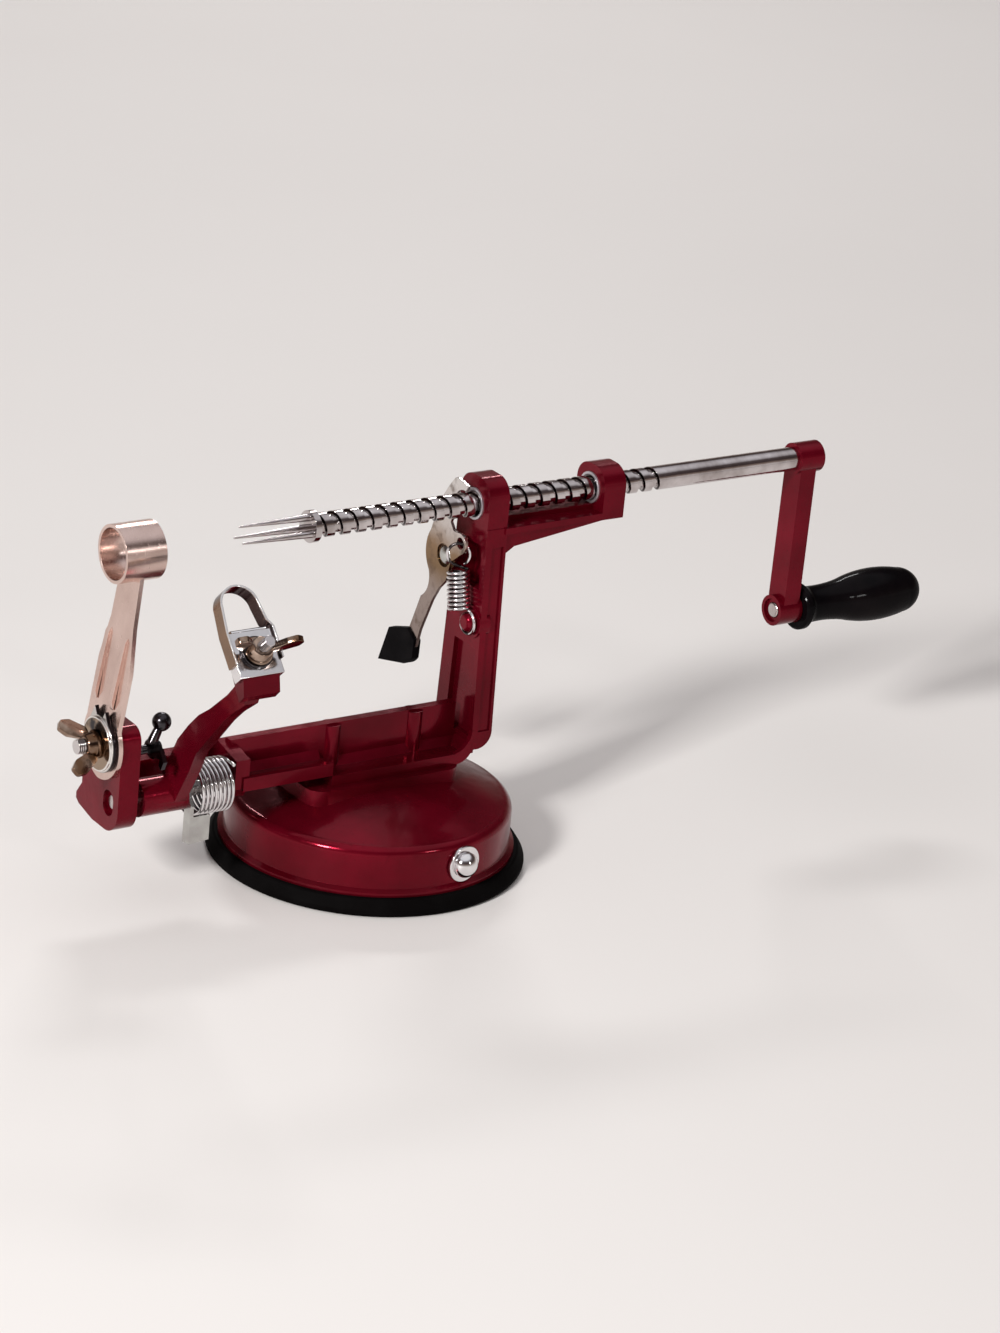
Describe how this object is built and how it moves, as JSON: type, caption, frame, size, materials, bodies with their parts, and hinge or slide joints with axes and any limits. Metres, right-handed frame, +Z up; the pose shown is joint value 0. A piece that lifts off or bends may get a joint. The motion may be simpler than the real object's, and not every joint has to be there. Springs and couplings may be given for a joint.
{
  "type": "apple peeler",
  "caption": "Hand cranked apple peeler on a suction base: a threaded shaft feeds a fork past a paring arm and a coring blade, with a catch for the thread.",
  "frame": {"origin": "centre of the round base, on the table it stands on", "axes": "+X along the threaded shaft towards the crank, +Z up, -Y towards the side the paring arm leans to"},
  "size_m": [0.3664, 0.1241, 0.1365],
  "materials": {
    "bright_steel": "polished sheet steel",
    "bush_metal": "plain",
    "chrome": "polished",
    "dark_steel": "dark plated",
    "enamel": "glossy deep red enamel",
    "grip_plastic": "glossy black",
    "rubber": "black rubber",
    "spring_steel": "bright wire",
    "vinyl": "dipped black vinyl"
  },
  "bodies": {
    "frame": {"base_housing": "enamel", "suction_cup": "rubber", "base_screw_left": "dark_steel", "base_screw_right": "dark_steel", "main_frame": "enamel", "catch_pivot_rivet": "bright_steel", "catch_spring": "spring_steel", "arm_pivot_pin": "bright_steel", "arm_spring": "spring_steel", "coring_blade": "bright_steel", "core_bolt": "chrome", "latch_pin": "dark_steel", "latch_stop_pin": "dark_steel"},
    "suction_lever_set": {"suction_lever": "bright_steel", "lever_grip": "vinyl", "cam_axle": "bright_steel", "suction_cam": "dark_steel", "axle_washer": "chrome", "axle_cap": "chrome"},
    "cup_centre": {"cup_core": "rubber", "cup_stem": "grip_plastic"},
    "shaft_bushes": {"front_bush": "bush_metal", "rear_bush": "bush_metal"},
    "crank_shaft": {"feed_screw": "chrome", "food_fork": "chrome", "crank_arm": "enamel", "crank_pin": "bright_steel"},
    "crank_handle": {"handle_grip": "grip_plastic"},
    "thread_catch": {"catch_lever": "bright_steel", "catch_tab_sleeve": "vinyl"},
    "peeling_arm": {"paring_arm": "enamel", "arm_lever_plate": "dark_steel", "blade_bolt": "chrome"},
    "blade_unit": {"blade_bracket": "chrome", "paring_blade": "bright_steel", "blade_guard": "chrome"},
    "blade_clamp": {"blade_washer": "dark_steel"},
    "blade_nut": {"blade_wing_nut": "chrome"},
    "core_clamp": {"core_washers": "dark_steel"},
    "core_nut": {"core_wing_nut": "chrome"},
    "arm_latch": {"latch_lever": "dark_steel", "latch_knob": "dark_steel"}
  },
  "joints": [
    {"name": "suction_lever_turn", "type": "hinge", "parent": "frame", "child": "suction_lever_set", "pos_m": [0, 0, 0.015], "axis": [0.1392, -0.9903, 0], "range_deg": [0, 180]},
    {"name": "cup_lift", "type": "slide", "parent": "frame", "child": "cup_centre", "axis": [0, 0, 1], "range_m": [0, 0.0025]},
    {"name": "crank_turn", "type": "hinge", "parent": "frame", "child": "shaft_bushes", "pos_m": [0, 0, 0.1262], "axis": [1, 0, 0], "range_deg": [-1927.56, 3288.19]},
    {"name": "screw_feed", "type": "slide", "parent": "shaft_bushes", "child": "crank_shaft", "axis": [1, 0, 0], "range_m": [-0.034, 0.058]},
    {"name": "handle_spin", "type": "hinge", "parent": "crank_shaft", "child": "crank_handle", "pos_m": [0.2, 0, 0.0667], "axis": [1, 0, 0], "continuous": true},
    {"name": "catch_swing", "type": "hinge", "parent": "frame", "child": "thread_catch", "pos_m": [0.0292, 0.0089, 0.1043], "axis": [-1, 0, 0], "range_deg": [0, 12], "stiffness_Nm_per_rad": 0.2, "springref_deg": -17.19, "deforming": ["catch_spring"]},
    {"name": "arm_swing", "type": "hinge", "parent": "frame", "child": "peeling_arm", "pos_m": [-0.085, -0.0055, 0.0388], "axis": [1, 0, 0], "range_deg": [-14, 38]},
    {"name": "blade_adjust", "type": "slide", "parent": "peeling_arm", "child": "blade_unit", "axis": [0, 0.682, 0.7314], "range_m": [-0.002, 0.002]},
    {"name": "blade_clamp_lift", "type": "slide", "parent": "peeling_arm", "child": "blade_clamp", "axis": [0, -0.7314, 0.682], "range_m": [0, 0.002]},
    {"name": "blade_nut_turn", "type": "hinge", "parent": "blade_clamp", "child": "blade_nut", "pos_m": [-0.0835, -0.0502, 0.1065], "axis": [0, -0.7314, 0.682], "range_deg": [0, 1029]},
    {"name": "core_clamp_lift", "type": "slide", "parent": "frame", "child": "core_clamp", "axis": [-1, 0, 0], "range_m": [0, 0.002]},
    {"name": "core_nut_turn", "type": "hinge", "parent": "core_clamp", "child": "core_nut", "pos_m": [-0.116, -0.0022, 0.0597], "axis": [-1, 0, 0], "range_deg": [0, 901]},
    {"name": "latch_swing", "type": "hinge", "parent": "frame", "child": "arm_latch", "pos_m": [-0.094, -0.007, 0.057], "axis": [-1, 0, 0], "range_deg": [0, 20]}
  ],
  "couplings": [
    {"joint": "screw_feed", "follows": "crank_turn", "m_per_rad": 0.0010106},
    {"joint": "suction_lever_turn", "follows": "cup_lift", "rad_per_m": 1256.6},
    {"joint": "blade_nut_turn", "follows": "blade_clamp_lift", "rad_per_m": 8976},
    {"joint": "core_nut_turn", "follows": "core_clamp_lift", "rad_per_m": 7854}
  ]
}
